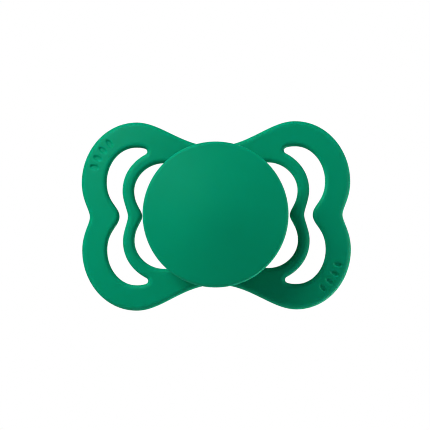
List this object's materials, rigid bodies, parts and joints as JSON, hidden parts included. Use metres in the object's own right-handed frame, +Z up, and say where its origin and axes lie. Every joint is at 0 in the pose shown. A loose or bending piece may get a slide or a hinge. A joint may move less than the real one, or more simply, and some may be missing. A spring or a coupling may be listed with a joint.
{
  "type": "pacifier",
  "caption": "Baby pacifier: butterfly-shaped dished shield with vent openings, domed round button that turns in the collar, and a hollow soft teat held by a vented plug.",
  "frame": {"origin": "on the teat's axis, at the middle of the whole pacifier's box: half way from the button's crown to the teat's tip", "axes": "+X along the shield's long side, +Y along the teat towards its tip (the shield's flat rear face looks that way), +Z up as the pacifier is worn, button facing -Y"},
  "size_m": [0.056, 0.0404, 0.0392],
  "materials": {
    "green_plastic": "satin moulded polypropylene",
    "latex": "smooth translucent natural rubber latex"
  },
  "bodies": {
    "shield_body": {"shield": "green_plastic", "teat": "latex", "plug": "green_plastic"},
    "button_body": {"button": "green_plastic"}
  },
  "joints": [
    {"name": "button_swivel", "type": "hinge", "parent": "shield_body", "child": "button_body", "pos_m": [0, -0.0155, 0], "axis": [0, 1, 0], "continuous": true}
  ]
}
